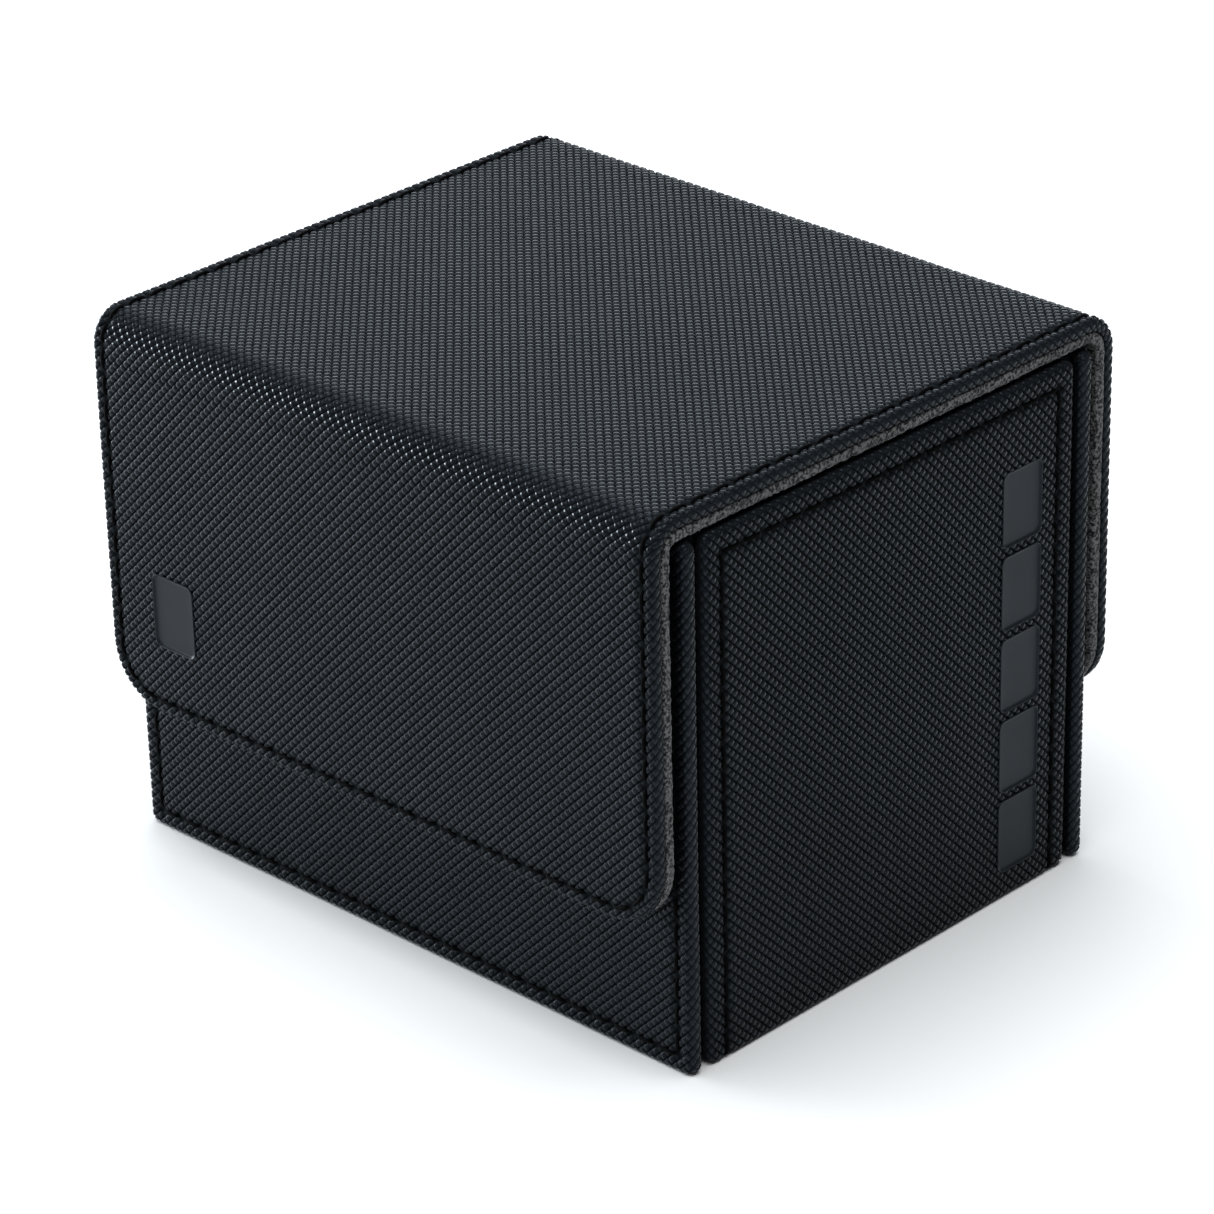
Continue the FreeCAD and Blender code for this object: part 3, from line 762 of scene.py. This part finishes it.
def bend_between(first, second, centre, towards, half):
    """towards is the way from the first body to the second, as y and z.
    """
    middle = Vector((0.0, centre[0], centre[1]))
    step = Vector((0.0, *towards)).normalized() * half
    return first, second, middle - step, middle + step


FRONT_FLAP_END = FRONT_RISE - CREASE_MARGIN
LID_START = FRONT_ARC_END + CREASE_MARGIN
LID_END = REAR_ARC_START - CREASE_MARGIN
BACK_FLAP_START = REAR_ARC_END + CREASE_MARGIN
# How far to each side of its middle a bend's two end points are put.
FRONT_HALF, REAR_HALF = 1.4 * MM, 1.75 * MM
FRONT_TURN = bend_between("lid", "front_flap", FRONT_CENTRE, (-1, -1), FRONT_HALF)
REAR_TURN = bend_between("box", "lid", REAR_CENTRE, (-1, 1), REAR_HALF)
# The cover's parts along the strip: name, start, end, and the body that each follows; a crease
# gets its bend's two bodies and end points instead, and stays put.
STRIP_PIECES = (("front_flap", -FAR, FRONT_FLAP_END, "front_flap"),
                ("front_crease", FRONT_FLAP_END, LID_START, FRONT_TURN),
                ("lid", LID_START, LID_END, "lid"),
                ("rear_crease", LID_END, BACK_FLAP_START, REAR_TURN),
                ("back_flap", BACK_FLAP_START, FAR, "box"))

cover_rect = (-COVER_X, COVER_X, 0.0, COVER_LENGTH)
cover_edge = Edge(roll=0.9 * MM, thick=SHELL, tuck_roll=0.35 * MM, tuck=0.5 * MM)
seam_rect = (-COVER_X + COVER_SEAM, COVER_X - COVER_SEAM, COVER_SEAM, COVER_LENGTH - COVER_SEAM)
cover_seam = [loop_path(seam_rect, FLAP_CORNER - COVER_SEAM)]
space, quads, keep, values, centres = embossed(cover_rect, FLAP_CORNER, cover_edge, cover_place,
                                               cover_seam, [FLAP_MARK])
for name, start, stop, body in STRIP_PIECES:
    chosen = keep & (centres[:, 1] >= start) & (centres[:, 1] < stop)
    floors = [mark_floor(FLAP_MARK, cover_place)] if name == "front_flap" else ()
    piece = embossed_piece(name + "_shell", space, quads[chosen], values, floors)
    finish_piece(piece, [name + "_skin"], body)

LINING_INSET = 0.12 * MM
lining_edge = Edge(roll=0.45 * MM, thick=COVER_DEPTH - SHELL, tuck_roll=0.3 * MM, tuck=0.6 * MM)
lining_rect = (-COVER_X + LINING_INSET, COVER_X - LINING_INSET,
               LINING_INSET, COVER_LENGTH - LINING_INSET)
space, quads, keep, values, centres = napped(lining_rect, FLAP_CORNER - LINING_INSET, lining_edge,
                                             lining_place)
for name, start, stop, body in STRIP_PIECES:
    chosen = keep & (centres[:, 1] >= start) & (centres[:, 1] < stop)
    piece = make_mesh(name + "_inside", space, quads[chosen], values)
    piece.data.materials.append(nap)
    finish_piece(piece, [name + "_lining"], body)

stitches = sew(cover_seam)
for name, start, stop, body in STRIP_PIECES:
    mine = [stitch for stitch in stitches if start <= stitch[1].mean() < stop]
    piece = thread(name + "_thread", mine, cover_place)
    piece.data.materials.append(black_thread)
    replaced = [] if name.endswith("crease") else [name + "_stitching"]
    finish_piece(piece, replaced, body)

# ---------------------------------------------------------------- body

panel_edge = Edge(roll=1.0 * MM, thick=PANEL, tuck_roll=1.0 * MM, tuck=0.6 * MM)
wide = (-BODY_X, BODY_X, 0.0, BODY_TOP)
narrow = (-SIDE_Y + GAP, SIDE_Y - GAP, 0.0, BODY_TOP)
floor_rect = (-SIDE_Y + BASE_GAP, SIDE_Y - BASE_GAP, -BASE_X + BASE_GAP, BASE_X - BASE_GAP)
# Name, outline, (origin, x, y, outwards), the seam's inset, whether it runs along the bottom, marks.
PANELS = (("front", wide, ((0, -BODY_Y, 0), (1, 0, 0), (0, 0, 1), (0, -1, 0)),
           FRONT_SEAM, True, ()),
          ("back", wide, ((0, BODY_Y, 0), (-1, 0, 0), (0, 0, 1), (0, 1, 0)),
           FRONT_SEAM, True, ()),
          ("right", narrow, ((BODY_X, 0, 0), (0, 1, 0), (0, 0, 1), (1, 0, 0)),
           SIDE_SEAM, False, SIDE_MARKS),
          ("left", narrow, ((-BODY_X, 0, 0), (0, -1, 0), (0, 0, 1), (-1, 0, 0)),
           SIDE_SEAM, False, ()),
          ("base", floor_rect, ((0, 0, 0), (0, 1, 0), (1, 0, 0), (0, 0, -1)),
           None, False, ()))

for name, rect, axes, inset, bottom_too, marks in PANELS:
    place = panel_place(*axes)
    seams = row_paths(rect, inset, bottom_too) if inset else []
    is_side = rect is narrow
    space, quads, keep, values, _ = embossed(rect, PANEL_CORNER, panel_edge, place, seams, marks,
                                             turned=is_side, shaded_sides=is_side)
    quads = quads[keep]
    if is_side:
        space, quads, values = with_folds(space, quads, values, rect, place)
    floors = [mark_floor(centre, place) for centre in marks]
    piece = embossed_piece(name + "_panel_shell", space, quads, values, floors)
    finish_piece(piece, [name + "_panel_skin"], "box")
    if inset:
        piece = thread(name + "_panel_thread", sew(seams), place)
        piece.data.materials.append(black_thread)
        finish_piece(piece, [name + "_panel_stitching"], "box")

# The boards inside the panels, drawn in from the rounded edges of the skin.
for name, *_ in PANELS:
    node = name + "_panel_board"
    size = high[node] - low[node]
    inward = np.where(size > size.min() + 1e-9, BOARD_INSET, 0.0)
    piece = slab(node + "_core", low[node] + inward, high[node] - inward)
    piece.data.materials.append(board)
    finish_piece(piece, [node], "box")

# The linings inside the box: each covers one wall or the floor, with its edges rounded over.
wall_edge = Edge(roll=0.35 * MM, thick=1.0 * MM, tuck_roll=0.3 * MM, tuck=0.2 * MM)
# INNER_X is the left lining's face, so it is negative.
INNER_X, INNER_Y = high["left_lining"][0], low["back_lining"][1]
LINED_X, LINED_Y = high["front_lining"][0], high["back_lining"][1]
FLOOR_Z, WALL_TOP = high["base_lining"][2], high["front_lining"][2]
LINING_CORNER = 0.6 * MM
long_wall = (-LINED_X, LINED_X, FLOOR_Z, WALL_TOP)
short_wall = (-INNER_Y, INNER_Y, FLOOR_Z, WALL_TOP)
lined_floor = (-LINED_X, LINED_X, -LINED_Y, LINED_Y)
LININGS = (("front", long_wall, ((0, -INNER_Y, 0), (-1, 0, 0), (0, 0, 1), (0, 1, 0))),
           ("back", long_wall, ((0, INNER_Y, 0), (1, 0, 0), (0, 0, 1), (0, -1, 0))),
           ("right", short_wall, ((-INNER_X, 0, 0), (0, -1, 0), (0, 0, 1), (-1, 0, 0))),
           ("left", short_wall, ((INNER_X, 0, 0), (0, 1, 0), (0, 0, 1), (1, 0, 0))),
           ("base", lined_floor, ((0, 0, FLOOR_Z), (1, 0, 0), (0, 1, 0), (0, 0, 1))))
for name, rect, axes in LININGS:
    space, quads, keep, values, _ = napped(rect, LINING_CORNER, wall_edge, panel_place(*axes),
                                           WALL_NAP_CELL)
    piece = make_mesh(name + "_lining_nap", space, quads[keep], values)
    piece.data.materials.append(nap)
    finish_piece(piece, [name + "_lining"], "box")

# ---------------------------------------------------------------- floor, light and camera

FLOOR_HALF = 3.0
floor_mesh = bpy.data.meshes.new("floor")
floor_corners = [(x, y, 0.0) for x, y in ((-1, -1), (1, -1), (1, 1), (-1, 1))]
floor_mesh.from_pydata(floor_corners, [], [(0, 1, 2, 3)])
floor_mesh.transform(Matrix.Diagonal((FLOOR_HALF, FLOOR_HALF, 1.0, 1.0)))
floor = bpy.data.objects.new("floor", floor_mesh)
bpy.context.scene.collection.objects.link(floor)
material, nodes, links, shader = new_material("pale_floor")
cloud = noise(nodes, links, 3.0)
links.new(ramp(nodes, links, cloud, ((0.3, 0.90), (0.7, 0.93))), shader.inputs["Base Color"])
shader.inputs["Roughness"].default_value = 0.9
shader.inputs["Specular IOR Level"].default_value = 0.1
floor_mesh.materials.append(material)
floor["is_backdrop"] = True

world = bpy.data.worlds.new("studio")
world.use_nodes = True
world.node_tree.nodes["Background"].inputs["Color"].default_value = (1.0, 1.0, 1.0, 1.0)
world.node_tree.nodes["Background"].inputs["Strength"].default_value = 0.12
bpy.context.scene.world = world
bpy.context.scene.view_settings.view_transform = "Standard"


def soft_light(name, place, target, size, power, tint):
    """A rectangular soft box at place, facing target."""
    data = bpy.data.lights.new(name, "AREA")
    data.shape = "RECTANGLE"
    data.size, data.size_y = size
    data.energy = power
    data.color = tint
    light = bpy.data.objects.new(name, data)
    light.location = place
    light.rotation_euler = (Vector(target) - Vector(place)).to_track_quat("-Z", "Y").to_euler()
    bpy.context.scene.collection.objects.link(light)


soft_light("overhead", place=(0.05, -0.15, 1.6), target=(0.05, -0.05, 0.0),
           size=(1.6, 1.6), power=38.0, tint=(0.95, 0.98, 1.0))
soft_light("back_left", place=(-0.85, 0.95, 0.42), target=(0.0, 0.0, 0.05),
           size=(1.3, 0.8), power=6.2, tint=(0.85, 0.93, 1.0))
soft_light("left", place=(-1.15, -0.25, 0.16), target=(0.0, 0.0, 0.04),
           size=(1.0, 0.28), power=25.0, tint=(0.88, 0.95, 1.0))

# The camera stands at the front right corner, looking down on the lid.
AZIMUTH, ELEVATION, ROLL = math.radians(44.24), math.radians(26.421), math.radians(-1.293)
DISTANCE, SHIFT_RIGHT, SHIFT_UP = 0.72802, -0.000712, 0.032833
SENSOR = 36.0
# The focal length as a share of the picture's width.
FOCAL_SHARE = 5085.43 / 1214
back = Vector((math.sin(AZIMUTH) * math.cos(ELEVATION), -math.cos(AZIMUTH) * math.cos(ELEVATION),
               math.sin(ELEVATION)))
level = Vector((0, 0, 1)).cross(back).normalized()
upright = back.cross(level)
right = math.cos(ROLL) * level + math.sin(ROLL) * upright
up = math.cos(ROLL) * upright - math.sin(ROLL) * level
camera_data = bpy.data.cameras.new("camera")
camera_data.sensor_width = SENSOR
camera_data.lens = SENSOR * FOCAL_SHARE
camera_data.clip_start, camera_data.clip_end = 0.01, 20.0
camera = bpy.data.objects.new("camera", camera_data)
stand = Matrix.Translation(right * SHIFT_RIGHT + up * SHIFT_UP + back * DISTANCE)
camera.matrix_world = stand @ Matrix((right, up, back)).transposed().to_4x4()
bpy.context.scene.collection.objects.link(camera)
bpy.context.scene.camera = camera

{"cad": [list(c) for c in cad_box], "visual": [list(c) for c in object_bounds()]}
